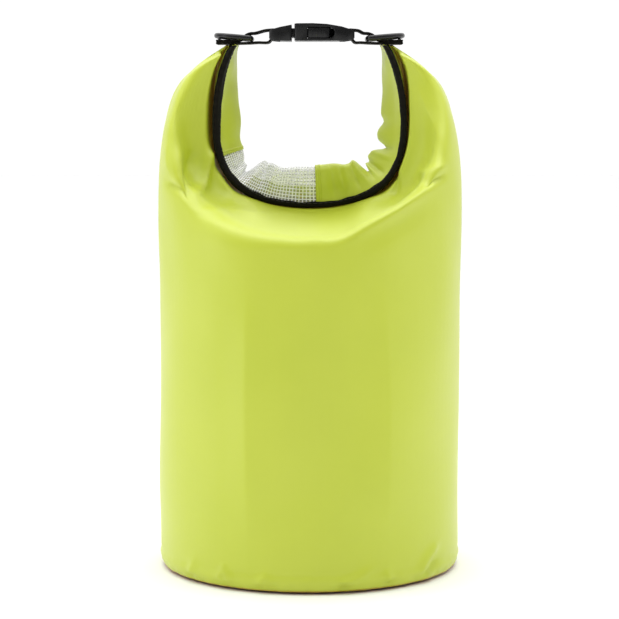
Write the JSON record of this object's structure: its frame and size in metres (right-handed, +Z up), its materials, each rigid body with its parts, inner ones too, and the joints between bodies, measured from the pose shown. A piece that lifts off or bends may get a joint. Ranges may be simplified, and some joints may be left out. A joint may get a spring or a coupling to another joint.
{
  "type": "roll-top dry bag",
  "caption": "Cylindrical coated-fabric dry bag, its mouth folded over, bent into a U and held by a side-release buckle as a carrying loop, with a clear mesh window strip.",
  "frame": {"origin": "on the floor, under the middle of the bag", "axes": "+Z up, +X to the right seen from the front, +Y towards the back panel with the clear strip"},
  "size_m": [0.1898, 0.1839, 0.342],
  "materials": {
    "coated_fabric": "fluorescent yellow-green, smooth PVC-coated polyester with a faint weave",
    "clear_window": "clear PVC with a white reinforcing mesh",
    "binding_tape": "black woven binding tape",
    "webbing": "black woven polyester webbing",
    "thread": "black polyester thread",
    "buckle_plastic": "black moulded acetal, satin gloss",
    "ring_plastic": "black moulded acetal, satin gloss",
    "stiffener_plastic": "black flexible plastic strip"
  },
  "bodies": {
    "bag": {"body_fabric": "coated_fabric", "body_window": "clear_window", "base_panel": "coated_fabric", "base_weld_tape": "coated_fabric", "roll_outer_fabric": "coated_fabric", "roll_inner_fabric": "coated_fabric", "roll_window": "clear_window", "stiffener_strip": "stiffener_plastic", "mouth_binding": "binding_tape", "binding_stitches": "thread", "right_strap": "webbing", "right_bartack": "thread", "buckle_socket": "buckle_plastic"},
    "left_end": {"left_strap": "webbing", "left_bartack": "thread", "buckle_plug": "buckle_plastic"},
    "front_prong_body": {"front_prong": "buckle_plastic"},
    "rear_prong_body": {"rear_prong": "buckle_plastic"},
    "left_ring_body": {"left_d_ring": "ring_plastic"},
    "right_ring_body": {"right_d_ring": "ring_plastic"}
  },
  "joints": [
    {"name": "buckle_release", "type": "slide", "parent": "bag", "child": "left_end", "axis": [-1, 0, 0], "range_m": [0, 0.032], "deforming": ["front_prong", "rear_prong"]},
    {"name": "front_prong_press", "type": "hinge", "parent": "left_end", "child": "front_prong_body", "pos_m": [-0.0104, -0.011, 0.3362], "axis": [0, 0, 1], "range_deg": [0, 13], "stiffness_Nm_per_rad": 0.4},
    {"name": "rear_prong_press", "type": "hinge", "parent": "left_end", "child": "rear_prong_body", "pos_m": [-0.0104, 0.011, 0.3362], "axis": [0, 0, -1], "range_deg": [0, 13], "stiffness_Nm_per_rad": 0.4},
    {"name": "left_ring_swing", "type": "hinge", "parent": "left_end", "child": "left_ring_body", "pos_m": [-0.0365, 0, 0.3328], "axis": [0, 1, 0], "range_deg": [0, 110]},
    {"name": "right_ring_swing", "type": "hinge", "parent": "bag", "child": "right_ring_body", "pos_m": [0.0365, 0, 0.3328], "axis": [0, -1, 0], "range_deg": [0, 110]}
  ]
}
